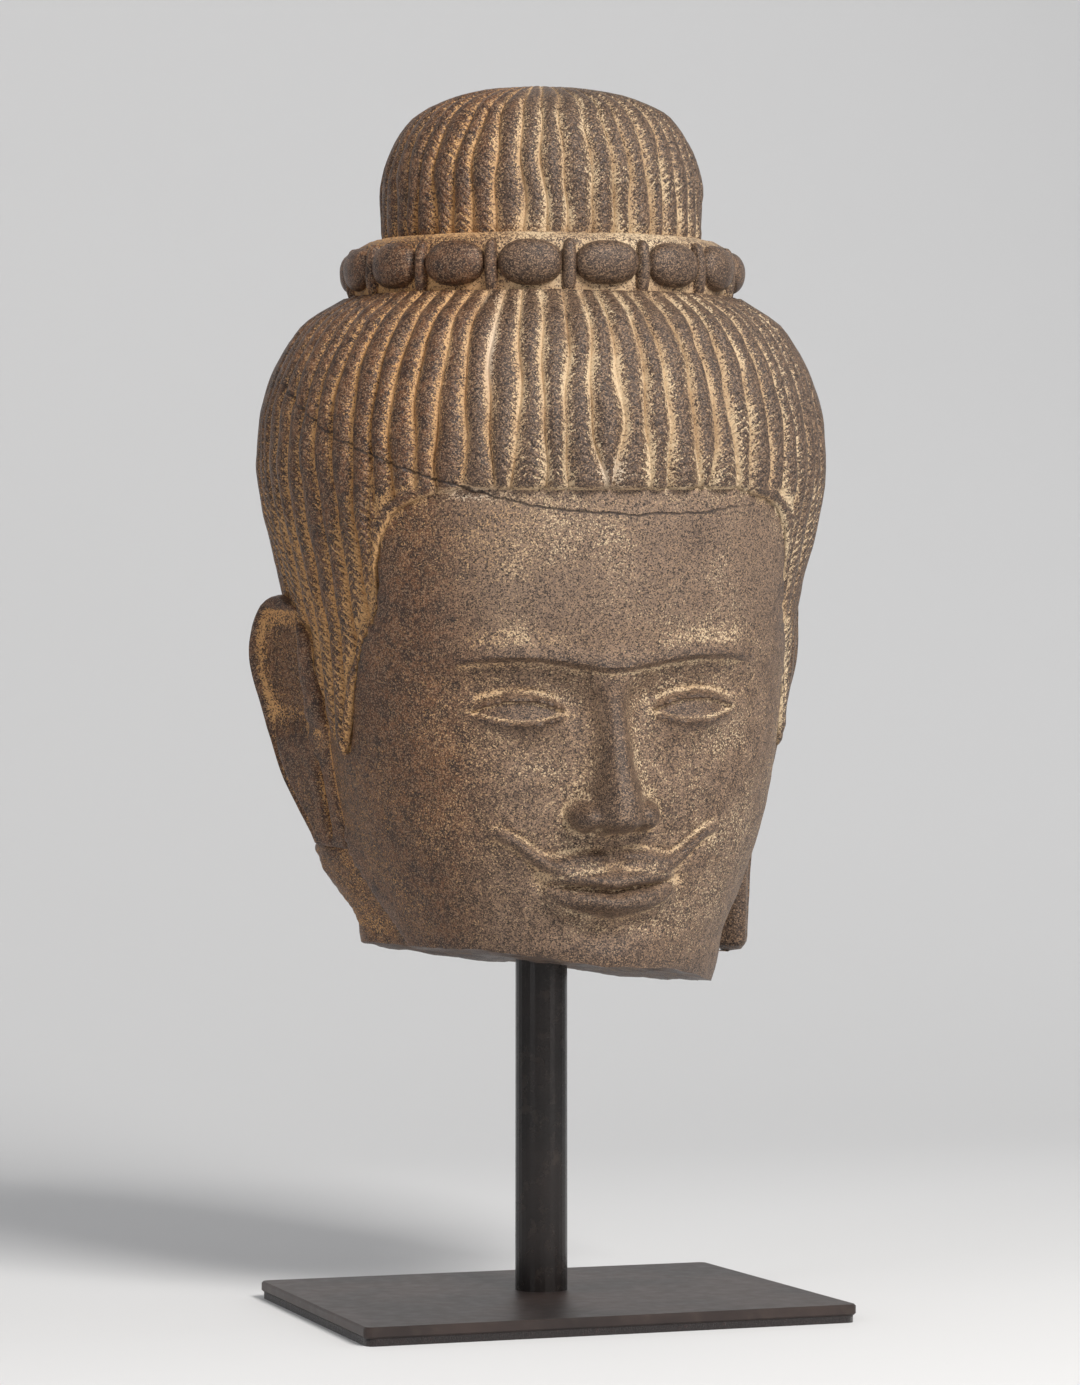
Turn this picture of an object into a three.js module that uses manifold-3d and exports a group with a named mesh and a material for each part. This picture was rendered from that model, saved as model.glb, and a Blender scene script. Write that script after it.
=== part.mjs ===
// Carved sandstone head on its display stand, in millimetres.
// +Z is up, the face looks along -Y, and the origin is the centre of the base's underside.
// The head is one stone, drilled from below for the steel post that carries it.

import * as THREE from "three";
import { mergeVertices } from "three/addons/utils/BufferGeometryUtils.js";
import Module from "manifold-3d";

const wasm = await Module();
wasm.setup();

// Stand
const PLATE_WIDTH = 240;
const PLATE_DEPTH = 185;
const PLATE_THICKNESS = 5;
const PLATE_CORNER = 4;
const PLATE_BEVEL = 0.8;
const FELT_THICKNESS = 3.5;
const FELT_INSET = 1;
const POST_DIAMETER = 25.4;
const POST_SETBACK = 12; // post's axis behind the plate's centre
const POST_RISE = 159; // clear post between the plate and the stone
const SOCKET_DEPTH = 60; // drilled hole, above the level where the post meets the stone
const CLEARANCE = 0.3; // between the post and the drilled hole

// Head: its height along its own axis, and how it sits on the post
const HEAD_HEIGHT = 425;
const HEAD_TURN = -4.8; // degrees about the vertical
const HEAD_BOW = 8.4; // degrees, chin towards the chest
const HEAD_LEAN = 2.2; // degrees, crown towards -X
const HEAD_MIDDLE = 375.2; // height of the middle of the head above the table
const BREAK_FALL = 6.5; // degrees that the broken underside falls towards +X

// All lengths in the carving below are percents of the head's height.
const PERCENT = HEAD_HEIGHT / 100;
const DEGREE = Math.PI / 180;

// Face, laid out in three equal thirds from hairline to chin and five eye widths across
const HAIRLINE = 56.2;
const CHIN = 1.0;
const THIRD = (HAIRLINE - CHIN) / 3;
const BROW = HAIRLINE - THIRD;
const NOSE_BASE = BROW - THIRD;
const MOUTH = NOSE_BASE - THIRD / 3;
const EYE = BROW - 0.3 * THIRD;
const EYE_WIDTH = 9.9;
const MOUTH_HALF = 7.6;

// Hair, band and bun
const HAIR_STRANDS = 72;
const HAIR_RIB = 0.55;
const HAIR_TURN = 2.5; // degrees that the hair's outline is turned on the head, towards -X
const UNDER_HAIR = 1.6; // the skull's surface below the hair's
const HAIR_TOP = 77.8;
const HAIR_TOP_RADIUS = 22.6;
const BAND_LOW = 76.3;
const BAND_MIDDLE = 80.8;
const BAND_HIGH = 84.2;
const BAND_RADIUS = 22.1;
const BEADS = 16;
const BEAD_TURN = 4; // degrees from the face's middle to the nearest bead
const BEAD_WIDTH = 7.2;
const BEAD_HEIGHT = 5;
const BEAD_RISE = 1.9;
const BAR_WIDTH = 1.8;
const BAR_RISE = 0.9;
const BUN_STRANDS = 44;
const BUN_RIB = 0.45;
const BUN_RADIUS = 18.3;
const CROWN = 101.8;

// Ears
const EAR_TOP = 43.9;
const LOBE_END = 1;
const LOBE_BREAK = 15; // where the lobe on the -X side has broken off
const EAR_FLARE = 28; // degrees that the ear turns out from the side of the head

// Helpers

const clamp = (x) => Math.min(1, Math.max(0, x));
const ease = (x, from, to) => {
  const t = clamp((x - from) / (to - from));
  return t * t * (3 - 2 * t);
};
const mix = (a, b, t) => a + (b - a) * t;
const bell = (distance, width) => Math.exp(-((distance / width) ** 2));

// A smooth curve through [position, value] stations that never overshoots them.
function through(stations) {
  const n = stations.length;
  const slope = [];
  for (let i = 0; i < n - 1; i++)
    slope.push((stations[i + 1][1] - stations[i][1]) / (stations[i + 1][0] - stations[i][0]));
  const tangent = stations.map((_, i) => {
    if (i === 0) return slope[0];
    if (i === n - 1) return slope[n - 2];
    return slope[i - 1] * slope[i] <= 0 ? 0 : (2 * slope[i - 1] * slope[i]) / (slope[i - 1] + slope[i]);
  });
  return (x) => {
    if (x <= stations[0][0]) return stations[0][1];
    if (x >= stations[n - 1][0]) return stations[n - 1][1];
    let i = 0;
    while (x > stations[i + 1][0]) i++;
    const width = stations[i + 1][0] - stations[i][0];
    const t = (x - stations[i][0]) / width;
    const a = stations[i][1];
    const b = stations[i + 1][1];
    return (
      a * (1 + 2 * t) * (1 - t) ** 2 +
      b * t * t * (3 - 2 * t) +
      width * (tangent[i] * t * (1 - t) ** 2 - tangent[i + 1] * t * t * (1 - t))
    );
  };
}

// Closed geometry from rings of points, each end closed by a fan to its own pole.
function ringSolid(rings, bottomPole, topPole) {
  const count = rings[0].length;
  const points = [bottomPole, ...rings.flat(), topPole];
  const index = [];
  const at = (row, column) => 1 + row * count + (column % count);
  for (let column = 0; column < count; column++) {
    index.push(0, at(0, column + 1), at(0, column));
    for (let row = 0; row < rings.length - 1; row++) {
      const a = at(row, column);
      const b = at(row, column + 1);
      const c = at(row + 1, column + 1);
      const d = at(row + 1, column);
      index.push(a, b, c, a, c, d);
    }
    index.push(points.length - 1, at(rings.length - 1, column), at(rings.length - 1, column + 1));
  }
  const geometry = new THREE.BufferGeometry();
  geometry.setAttribute("position", new THREE.Float32BufferAttribute(points.flat(), 3));
  geometry.setIndex(index);
  return geometry;
}

function toSolid(source) {
  const geometry = source.clone();
  geometry.deleteAttribute("normal");
  geometry.deleteAttribute("uv");
  const merged = mergeVertices(geometry, 1e-4);
  return new wasm.Manifold(
    new wasm.Mesh({
      numProp: 3,
      vertProperties: new Float32Array(merged.attributes.position.array),
      triVerts: new Uint32Array(merged.index.array),
    }),
  );
}

function toGeometry(solid) {
  const mesh = solid.getMesh();
  const geometry = new THREE.BufferGeometry();
  geometry.setAttribute("position", new THREE.BufferAttribute(mesh.vertProperties.slice(), 3));
  geometry.setIndex(new THREE.BufferAttribute(mesh.triVerts.slice(), 1));
  geometry.computeVertexNormals();
  return geometry;
}

const steps = (from, to, count) => Array.from({ length: count + 1 }, (_, i) => mix(from, to, i / count));

// Hair: the lower edge runs straight over the forehead, down each temple to a point in front of the ear,
// and low across the nape
const hairEdgeCurve = through([
  [0, HAIRLINE], [26, HAIRLINE], [35, HAIRLINE - 0.8], [41, HAIRLINE - 2], [44.5, 52.2], [47, 49], [48.5, 43],
  [53.5, 39.5], [58.5, 34], [64.5, 26.4], [69.5, 28], [77.5, 36], [95.5, 36], [105.5, 20], [122.5, 14.5], [180, 13.5],
]);
const hairEdge = (degrees) => hairEdgeCurve(Math.abs(degrees + HAIR_TURN));
const hairRadius = through([
  [10, 26.2], [20, 27.8], [30, 28.2], [40, 29.0], [47, 30.4], [54, 32.0], [58.8, 32.6],
  [63.5, 32.3], [68.2, 31.1], [71.8, 29.4], [74.8, 27.2], [HAIR_TOP, HAIR_TOP_RADIUS],
]);
const hairFront = through([[10, 1.02], [30, 1.05], [54, 1.02], [70, 1.0], [HAIR_TOP, 1.0]]);
const hairBack = through([[10, 0.92], [30, 1.02], [54, 1.05], [70, 1.02], [HAIR_TOP, 1.0]]);

// Distance of the hair from the head's axis, between groove and crest
function hairSurface(angle, z) {
  const depth = Math.cos(angle) > 0 ? hairFront(z) : hairBack(z);
  return hairRadius(z) / Math.hypot(Math.sin(angle), Math.cos(angle) / depth);
}

// Skull and face: half width, depth to the front, depth to the back and squareness of each level

const halfWidth = through([
  [-6, 19.2], [0, 19.6], [5, 20.0], [10, 21.9], [15, 23.6], [20, 25.0], [26, 26.2],
  [32, 27.1], [38, 28.0], [46, 29.3], [55, 30.7], [62, 31.2], [70, 28.5], [76, 20],
]);
const frontDepth = through([
  [-6, 24.2], [0, 26.2], [4, 27.9], [9, 28.6], [15, 28.8], [22, 28.7], [30, 28.7],
  [37, 29.8], [45, 31.4], [55, 32.0], [62, 31.7], [70, 28.5], [76, 20],
]);
const backDepth = through([
  [-6, 19], [0, 19.5], [10, 21.5], [20, 25], [30, 29], [40, 32], [55, 33], [62, 32.5], [70, 29], [76, 20],
]);
const squareness = through([[-6, 2.0], [8, 2.15], [20, 2.35], [35, 2.3], [55, 2.1], [76, 2]]);

// Distance from the head's axis in the direction angle, which is 0 at the face and grows towards +X.
function levelRadius(angle, z) {
  const n = squareness(z);
  const across = Math.abs(Math.sin(angle)) / halfWidth(z);
  const along = Math.abs(Math.cos(angle)) / (Math.cos(angle) > 0 ? frontDepth(z) : backDepth(z));
  return (across ** n + along ** n) ** (-1 / n);
}

// Height of the jaw's edge by the angle off the face; the neck lies a step further in below it
const jawLine = through([[20, -12], [40, -3], [55, 2.5], [68, 8], [79, 16], [86, 28], [92, 40]]);
const NECK_STEP = 1.9;
const STUMP_RISE = 3.2; // left on the neck where the lobe broke away

// Nose: how far its ridge stands forward and half its width, by height
const noseRidge = through([
  [NOSE_BASE - 1, 0], [NOSE_BASE - 0.4, 0.5], [NOSE_BASE + 0.5, 4.4], [NOSE_BASE + 1.7, 6.2], [NOSE_BASE + 3, 6.1],
  [NOSE_BASE + 8, 4.1], [EYE + 0.5, 2.2], [EYE + 3.5, 1.4], [BROW + 2, 0],
]);
const noseHalfWidth = through([[NOSE_BASE, 2.5], [NOSE_BASE + 3, 2.5], [EYE, 1.7], [BROW, 2.6]]);

// Relief of the face above its plain oval, from the distance off its middle line and the height
function faceRelief(side, z) {
  const eyeX = side - EYE_WIDTH;
  const socket = -2.1 * bell(eyeX, 0.75 * EYE_WIDTH) * bell(z - EYE - 1.6, 3);
  const innerCorner = -1.1 * bell(eyeX + 0.55 * EYE_WIDTH, 0.2 * EYE_WIDTH) * bell(z - EYE - 1, 2.4);
  const ball = 2.3 * Math.sqrt(Math.max(0, 1 - (eyeX / (0.6 * EYE_WIDTH)) ** 2 - ((z - EYE) / 2.7) ** 2));
  const opening = 1.25 * Math.sqrt(Math.max(0, 1 - (eyeX / (0.5 * EYE_WIDTH)) ** 2));
  const lids = -0.5 * (1 - ease(Math.abs(z - EYE + 0.3), 0.6 * opening, opening + 0.15));
  const browLine = BROW - 1 + 1.5 * bell(side - 1.1 * EYE_WIDTH, 0.85 * EYE_WIDTH);
  const brow = 0.8 * bell(z - browLine, 1.15) * (1 - ease(side, 1.55 * EYE_WIDTH, 2 * EYE_WIDTH));
  const ridge = noseRidge(z) * (0.85 * Math.exp(-((side / noseHalfWidth(z)) ** 3)) + 0.15 * bell(side, 5));
  const wingOut = 1 - ((side - 3.3) / 1.75) ** 2 - ((z - NOSE_BASE - 1.9) / 2.1) ** 2;
  const wing = 3.9 * Math.sqrt(Math.max(0, wingOut));
  const lipRun = Math.max(0, 1 - (side / MOUTH_HALF) ** 2);
  const lipLine = MOUTH + 0.5 * (side / MOUTH_HALF) ** 2;
  const upperLip = 1.7 * bell(z - lipLine - 1, 1.1) * lipRun;
  const lowerLip = 2 * bell(z - lipLine + 1.4, 1.35) * lipRun;
  const seam = -0.9 * bell(z - lipLine, 0.45) * Math.sqrt(lipRun);
  const muzzle = 1.2 * bell(side, 8) * bell(z - MOUTH - 1, 5.5);
  const underLip = -0.9 * bell(side, 6) * bell(z - MOUTH + 4.3, 1.4);
  const philtrum = -0.4 * bell(side, 0.8) * bell(z - NOSE_BASE + 2, 1.4);
  const moustacheLine = MOUTH + 3.1 + 2.6 * ease(side, 0.5 * MOUTH_HALF, 1.6 * MOUTH_HALF);
  const moustache = 0.6 * bell(z - moustacheLine, 0.7) * ease(side, 0.3, 1.2) * (1 - ease(side, 9.5, 12.5));
  const chin = 1.7 * bell(side, 6) * bell(z - CHIN - 3.6, 3.2);
  const cheek = 1.1 * bell(side - 12.5, 6.5) * bell(z - NOSE_BASE - 3, 6.5);
  const eye = socket + innerCorner + Math.max(0, ball + (ball > 0 ? lids : 0));
  const mouth = upperLip + lowerLip + seam + muzzle + underLip + philtrum + moustache;
  return eye + brow + Math.max(ridge, wing) + mouth + chin + cheek;
}

function facePoint(angle, z) {
  const degrees = angle / DEGREE;
  const edge = hairEdge(degrees);
  const neck = NECK_STEP * (1 - ease(z, jawLine(Math.abs(degrees)) - 1.4, jawLine(Math.abs(degrees)) + 1.4));
  const left = STUMP_RISE + 1.7 * ease(z, 5, LOBE_BREAK - 1);
  const stump = left * bell(degrees + 98, 17) * (1 - ease(z, LOBE_BREAK - 1, LOBE_BREAK + 4));
  const open = levelRadius(angle, z) - neck + stump;
  const r = mix(open, Math.min(open, hairSurface(angle, z) - UNDER_HAIR), ease(z, edge, edge + 2));
  const x = r * Math.sin(angle);
  const fade = ease(Math.cos(angle), 0.05, 0.6) * (1 - ease(z, HAIRLINE - 4, HAIRLINE));
  return [x, -r * Math.cos(angle) - fade * faceRelief(Math.abs(x), z), z];
}

// Core of the head: columns close together over the face, wide apart behind
function buildCore() {
  const half = [...steps(0, 30, 10), ...steps(30, 66, 6).slice(1), ...steps(66, 180, 5).slice(1)];
  const angles = [...half.slice(1, -1).map((a) => -a).reverse(), ...half].map((a) => a * DEGREE);
  const levels = [
    -6, -1, 2, 5, 7.3, 9.3, 10.7, 11.9, 12.6, 13.2, 14.3, 15.6, 16.9, 18.1, 19.2, 20.6, 22.4, 24.4, 26.6,
    28.9, 30.1, 31, 31.8, 32.6, 33.6, 35, 36.6, 38.2, 40.4, 44, 50, 57, HAIR_TOP - 4,
  ];
  const rings = levels.map((z) => angles.map((angle) => facePoint(angle, z)));
  return ringSolid(rings, [0, 0, levels[0]], [0, 0, HAIR_TOP - 3]);
}

// Hair as rounded ribs: two columns to each strand, the groove and the crest
function buildHair() {
  const columns = 2 * HAIR_STRANDS;
  const shares = [0, 0.03, 0.25, 0.46, 0.66, 0.84, 1];
  const rings = shares.map((share) =>
    Array.from({ length: columns }, (_, i) => {
      const degrees = ((i + 0.5) / columns) * 360 - 180;
      const angle = degrees * DEGREE;
      const z = mix(hairEdge(degrees), HAIR_TOP, share);
      const crest = i % 2 === 0 ? HAIR_RIB : -HAIR_RIB;
      const r = hairSurface(angle, z) + (share === 0 ? -HAIR_RIB : crest);
      return [r * Math.sin(angle), -r * Math.cos(angle), z];
    }),
  );
  return ringSolid(rings, [0, 0, HAIRLINE], [0, 0, HAIR_TOP + 1]);
}

// Band: a ring that swells into oval beads, with an upright bar between each two.
// The columns stand on the beads' edges and middles and on the bars.
function buildBand() {
  const half = BEAD_WIDTH / 2 / BAND_RADIUS / DEGREE;
  const barHalf = BAR_WIDTH / 2 / BAND_RADIUS / DEGREE;
  const pitch = 360 / BEADS;
  const offsets = [-half, -0.8 * half, 0, 0.8 * half, half, pitch / 2 - barHalf, pitch / 2, pitch / 2 + barHalf];
  const heights = [-1, -0.7, 0, 0.7, 1].map((share) => BAND_MIDDLE + (share * BEAD_HEIGHT) / 2);
  const levels = [BAND_LOW, ...heights, BAND_HIGH];
  const ring = (z) => {
    const rise = (z - BAND_MIDDLE) / (BEAD_HEIGHT / 2);
    const plain = BAND_RADIUS - 0.35 * Math.abs(rise) ** 3;
    return steps(0, BEADS - 1, BEADS - 1).flatMap((bead) =>
      offsets.map((offset) => {
        const across = offset / half;
        const beadRise = BEAD_RISE * Math.sqrt(Math.max(0, 1 - across * across - rise * rise));
        const barRise = offset === pitch / 2 && Math.abs(rise) < 1.1 ? BAR_RISE : 0;
        const angle = (BEAD_TURN + bead * pitch + offset) * DEGREE;
        const r = plain + beadRise + barRise;
        return [r * Math.sin(angle), -r * Math.cos(angle), z];
      }),
    );
  };
  return ringSolid(levels.map(ring), [0, 0, BAND_LOW], [0, 0, BAND_HIGH]);
}

// Bun: a ribbed dome, its strands drawn together at the crown
const bunProfile = new THREE.CatmullRomCurve3(
  [
    [BUN_RADIUS - 0.6, BAND_HIGH - 2], [BUN_RADIUS, BAND_HIGH + 1.6], [BUN_RADIUS, CROWN - 11.8],
    [BUN_RADIUS - 1.1, CROWN - 7.4], [BUN_RADIUS - 4, CROWN - 3.2], [BUN_RADIUS - 9, CROWN - 1],
    [5, CROWN - 0.15], [1.5, CROWN],
  ].map(([r, z]) => new THREE.Vector3(r, 0, z)),
);

function buildBun() {
  const columns = 2 * BUN_STRANDS;
  const rings = bunProfile.getSpacedPoints(5).map((point) =>
    Array.from({ length: columns }, (_, i) => {
      const angle = ((i + 0.5) / columns) * 2 * Math.PI;
      const rib = BUN_RIB * ease(point.x, 2, 12) * (i % 2 === 0 ? 1 : -1);
      return [(point.x + rib) * Math.sin(angle), -(point.x + rib) * Math.cos(angle), point.z];
    }),
  );
  return ringSolid(rings, [0, 0, BAND_HIGH - 2], [0, 0, CROWN]);
}

// Ears: a strip from the top to the end of the lobe, u across it from its front edge
const earFront = through([
  [LOBE_END, 2.6], [2.2, 1.2], [6, 0.7], [14, 0.6], [22, 0.2], [27, -0.5], [35, -0.9], [39, -0.3],
  [EAR_TOP - 1.5, 2.6], [EAR_TOP, 6.4],
]);
const earRear = through([
  [LOBE_END, 4], [2.2, 5.4], [6, 6.2], [13.5, 6.9], [18, 8.7], [23.5, 10.9], [30.5, 11.8], [37, 12.3],
  [40, 11.5], [EAR_TOP - 1.2, 9.6], [EAR_TOP, 7.4],
]);
const earRoot = through([
  [LOBE_END, 21.9], [14, 22.3], [23.5, 24.4], [30.5, 25.8], [36, 26.9], [EAR_TOP, 27.3],
]);
const earThickness = through([
  [LOBE_END, 0.6], [LOBE_END + 0.6, 2], [LOBE_END + 2, 3.2], [9, 3.8], [16, 7], [EAR_TOP, 7],
]);
const EAR_ROOT_FORWARD = 4.7;

// Height of the ear's outer face: a rolled rim round a hollow, and a long slit in the lobe
function earFace(share, z) {
  const hollow = ease(z, 19, 27) * bell(share - 0.47, 0.3) * (1 - ease(z, 38.5, 41.5));
  const slit = bell(share - 0.45, 0.14) * ease(z, 7, 9) * (1 - ease(z, 17.5, 20));
  const edge = 1 - Math.abs(2 * share - 1) ** 6;
  return 1.6 * edge - 2.2 * hollow - 1.1 * slit;
}

function buildEar(side, lowest) {
  const flare = EAR_FLARE * DEGREE;
  const place = (u, out, z) => [
    side * (earRoot(z) + u * Math.sin(flare) + out * Math.cos(flare)),
    -EAR_ROOT_FORWARD + u * Math.cos(flare) - out * Math.sin(flare),
    z,
  ];
  const levels = steps(lowest, EAR_TOP, 13);
  const shares = [0, 0.1, 0.26, 0.45, 0.64, 0.86, 1];
  const rings = levels.map((z) => {
    const across = (share) => mix(earFront(z), earRear(z), share);
    const outer = shares.map((share) => place(across(share), earFace(share, z), z));
    const inner = [0.7, 0.35, 0].map((share) => place(across(share) - 0.5, -earThickness(z), z));
    const ring = outer.concat(inner);
    return side > 0 ? ring : ring.reverse();
  });
  const middle = (z) => place((earFront(z) + earRear(z)) / 2, -0.5, z);
  return ringSolid(rings, middle(lowest), middle(EAR_TOP));
}

// The stone's place on the post: it turns, bows and leans about the middle of its own height
function headPose() {
  const pivot = 0.5 * HEAD_HEIGHT;
  const turn = new THREE.Matrix4().makeRotationZ(HEAD_TURN * DEGREE);
  const lean = new THREE.Matrix4().makeRotationY(-HEAD_LEAN * DEGREE);
  const bow = new THREE.Matrix4().makeRotationX(HEAD_BOW * DEGREE);
  const lower = new THREE.Matrix4().makeTranslation(0, 0, -pivot);
  const raise = new THREE.Matrix4().makeTranslation(0, POST_SETBACK, HEAD_MIDDLE);
  return raise.multiply(turn).multiply(lean).multiply(bow).multiply(lower);
}

const plateTop = FELT_THICKNESS + PLATE_THICKNESS;
const stoneLevel = plateTop + POST_RISE; // underside of the stone at the post

function buildHead() {
  const carving = [buildHair(), buildBand(), buildBun(), buildEar(1, LOBE_END), buildEar(-1, LOBE_BREAK)];
  const stone = carving.reduce((solid, part) => solid.add(toSolid(part)), toSolid(buildCore()));
  const geometry = toGeometry(stone);
  geometry.scale(PERCENT, PERCENT, PERCENT);
  geometry.applyMatrix4(headPose());

  // The break under the chin, and the drilled hole for the post
  const below = new THREE.BoxGeometry(2 * HEAD_HEIGHT, 2 * HEAD_HEIGHT, HEAD_HEIGHT);
  below.translate(0, 0, -HEAD_HEIGHT / 2);
  below.rotateY(BREAK_FALL * DEGREE);
  below.translate(0, POST_SETBACK, stoneLevel);
  const hole = cylinder(POST_DIAMETER + 2 * CLEARANCE, 2 * SOCKET_DEPTH);
  hole.translate(0, POST_SETBACK, stoneLevel);
  return toGeometry(toSolid(geometry).subtract(toSolid(below)).subtract(toSolid(hole)));
}

function cylinder(diameter, height) {
  const geometry = new THREE.CylinderGeometry(diameter / 2, diameter / 2, height, 32);
  geometry.rotateX(Math.PI / 2);
  return geometry;
}

// Stand

function roundedOutline(width, depth, corner) {
  const x = width / 2;
  const y = depth / 2;
  const shape = new THREE.Shape();
  shape.moveTo(-x + corner, -y);
  shape.lineTo(x - corner, -y);
  shape.absarc(x - corner, -y + corner, corner, -Math.PI / 2, 0);
  shape.lineTo(x, y - corner);
  shape.absarc(x - corner, y - corner, corner, 0, Math.PI / 2);
  shape.lineTo(-x + corner, y);
  shape.absarc(-x + corner, y - corner, corner, Math.PI / 2, Math.PI);
  shape.lineTo(-x, -y + corner);
  shape.absarc(-x + corner, -y + corner, corner, Math.PI, 1.5 * Math.PI);
  return shape;
}

function buildPlate() {
  const outline = roundedOutline(
    PLATE_WIDTH - 2 * PLATE_BEVEL, PLATE_DEPTH - 2 * PLATE_BEVEL, PLATE_CORNER - PLATE_BEVEL,
  );
  const geometry = new THREE.ExtrudeGeometry(outline, {
    depth: PLATE_THICKNESS - 2 * PLATE_BEVEL,
    bevelThickness: PLATE_BEVEL,
    bevelSize: PLATE_BEVEL,
    bevelSegments: 1,
    curveSegments: 3,
  });
  geometry.translate(0, 0, FELT_THICKNESS + PLATE_BEVEL);
  return geometry;
}

function buildFelt() {
  const outline = roundedOutline(PLATE_WIDTH - 2 * FELT_INSET, PLATE_DEPTH - 2 * FELT_INSET, PLATE_CORNER);
  return new THREE.ExtrudeGeometry(outline, { depth: FELT_THICKNESS, bevelEnabled: false, curveSegments: 3 });
}

function buildPost() {
  const height = POST_RISE + SOCKET_DEPTH - CLEARANCE;
  const geometry = cylinder(POST_DIAMETER, height);
  geometry.translate(0, POST_SETBACK, plateTop + height / 2);
  return geometry;
}

// Materials and the assembled object

const sandstone = new THREE.MeshStandardMaterial({ color: 0x6b5d4c, roughness: 0.85, metalness: 0 });
const patinatedSteel = new THREE.MeshStandardMaterial({ color: 0x2a2624, roughness: 0.45, metalness: 0.7 });
const blackFelt = new THREE.MeshStandardMaterial({ color: 0x15110f, roughness: 1, metalness: 0 });

function piece(name, geometry, material) {
  const mesh = new THREE.Mesh(geometry, material);
  mesh.name = name;
  return mesh;
}

const sculpture = new THREE.Group();
sculpture.name = "head_on_stand";
sculpture.add(piece("stone_head", buildHead(), sandstone));
sculpture.add(piece("stand_post", buildPost(), patinatedSteel));
sculpture.add(piece("stand_plate", buildPlate(), patinatedSteel));
sculpture.add(piece("stand_felt_pad", buildFelt(), blackFelt));

export default sculpture;
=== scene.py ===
"""Dressed model of the carved head on its stand: stone at full detail, materials, light and camera."""
import bpy
import math
import numpy as np
from mathutils import Matrix, Vector, noise


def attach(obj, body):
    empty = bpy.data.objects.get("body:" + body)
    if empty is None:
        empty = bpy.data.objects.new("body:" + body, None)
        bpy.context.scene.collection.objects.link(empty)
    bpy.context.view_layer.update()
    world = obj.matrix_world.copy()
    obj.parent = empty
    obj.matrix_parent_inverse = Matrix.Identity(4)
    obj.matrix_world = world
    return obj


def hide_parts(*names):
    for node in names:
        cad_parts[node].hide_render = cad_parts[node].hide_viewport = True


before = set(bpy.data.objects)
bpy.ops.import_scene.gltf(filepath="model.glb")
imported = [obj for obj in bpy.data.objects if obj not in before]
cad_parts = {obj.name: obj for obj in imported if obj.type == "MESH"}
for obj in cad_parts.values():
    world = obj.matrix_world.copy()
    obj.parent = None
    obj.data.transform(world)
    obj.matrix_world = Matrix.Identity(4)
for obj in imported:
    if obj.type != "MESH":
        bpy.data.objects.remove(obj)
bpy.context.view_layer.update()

# The stone's own frame: lengths in percents of the head's height, z up its axis, face along -Y

PERCENT_MM = 4.25
PERCENT = PERCENT_MM / 1000
DEG = math.pi / 180
HEAD_TURN, HEAD_BOW, HEAD_LEAN = -4.8 * DEG, 8.4 * DEG, 2.2 * DEG
POST_Y = 0.012
HEAD_MIDDLE = 0.3752
BREAK_LEVEL = 0.1675
BREAK_FALL = 6.5 * DEG
BREAKER_FLOOR = 0.05
SOCKET_RADIUS = 0.013
SOCKET_TOP = 0.2275

HEAD_POSE = (
    Matrix.Translation((0, POST_Y, HEAD_MIDDLE))
    @ Matrix.Rotation(HEAD_TURN, 4, "Z")
    @ Matrix.Rotation(-HEAD_LEAN, 4, "Y")
    @ Matrix.Rotation(HEAD_BOW, 4, "X")
    @ Matrix.Translation((0, 0, -50 * PERCENT))
    @ Matrix.Scale(PERCENT, 4)
)

HAIRLINE, CHIN = 56.2, 1.0
THIRD = (HAIRLINE - CHIN) / 3
BROW = HAIRLINE - THIRD
NOSE_BASE = BROW - THIRD
MOUTH = NOSE_BASE - THIRD / 3
EYE = BROW - 0.3 * THIRD
EYE_WIDTH = 9.9
MOUTH_HALF = 7.6

HAIR_STRANDS, HAIR_RIB, HAIR_TOP, HAIR_TURN = 72, 0.5, 77.8, 2.5
BUN_STRANDS, BUN_RIB = 44, 0.42
UNDER_HAIR = 1.6
BAND_LOW, BAND_MIDDLE, BAND_HIGH, BAND_RADIUS = 76.3, 80.8, 84.2, 22.1
BEADS, BEAD_TURN = 16, 4.0
BEAD_WIDTH, BEAD_HEIGHT, BEAD_RISE = 7.2, 5.0, 1.9
BAR_WIDTH, BAR_HEIGHT, BAR_RISE = 1.6, 6.2, 1.2
BUN_RADIUS, BUN_SHOULDER, CROWN = 18.3, 98.0, 101.8
EAR_TOP, LOBE_END, LOBE_BREAK = 43.9, 1.0, 15.0
EAR_FLARE, EAR_PLACE = 28 * DEG, -4.7


def ease(x, a, b):
    t = np.clip((x - a) / (b - a), 0, 1)
    return t * t * (3 - 2 * t)


def bell(d, w):
    return np.exp(-((d / w) ** 2))


def dome(q):
    return np.sqrt(np.maximum(0, 1 - q))


def through(stations):
    """A smooth curve through (position, value) stations that never overshoots them."""
    xs, ys = np.array(stations, float).T
    slope = np.diff(ys) / np.diff(xs)
    tangent = np.empty_like(ys)
    tangent[0], tangent[-1] = slope[0], slope[-1]
    a, b = slope[:-1], slope[1:]
    both = a * b > 0
    tangent[1:-1] = np.where(both, 2 * a * b / np.where(both, a + b, 1), 0)

    def curve(x):
        x = np.clip(np.asarray(x, float), xs[0], xs[-1])
        i = np.clip(np.searchsorted(xs, x, side="right") - 1, 0, len(xs) - 2)
        w = xs[i + 1] - xs[i]
        t = (x - xs[i]) / w
        return (
            ys[i] * (1 + 2 * t) * (1 - t) ** 2 + ys[i + 1] * t * t * (3 - 2 * t)
            + w * (tangent[i] * t * (1 - t) ** 2 - tangent[i + 1] * t * t * (1 - t))
        )

    return curve


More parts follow.
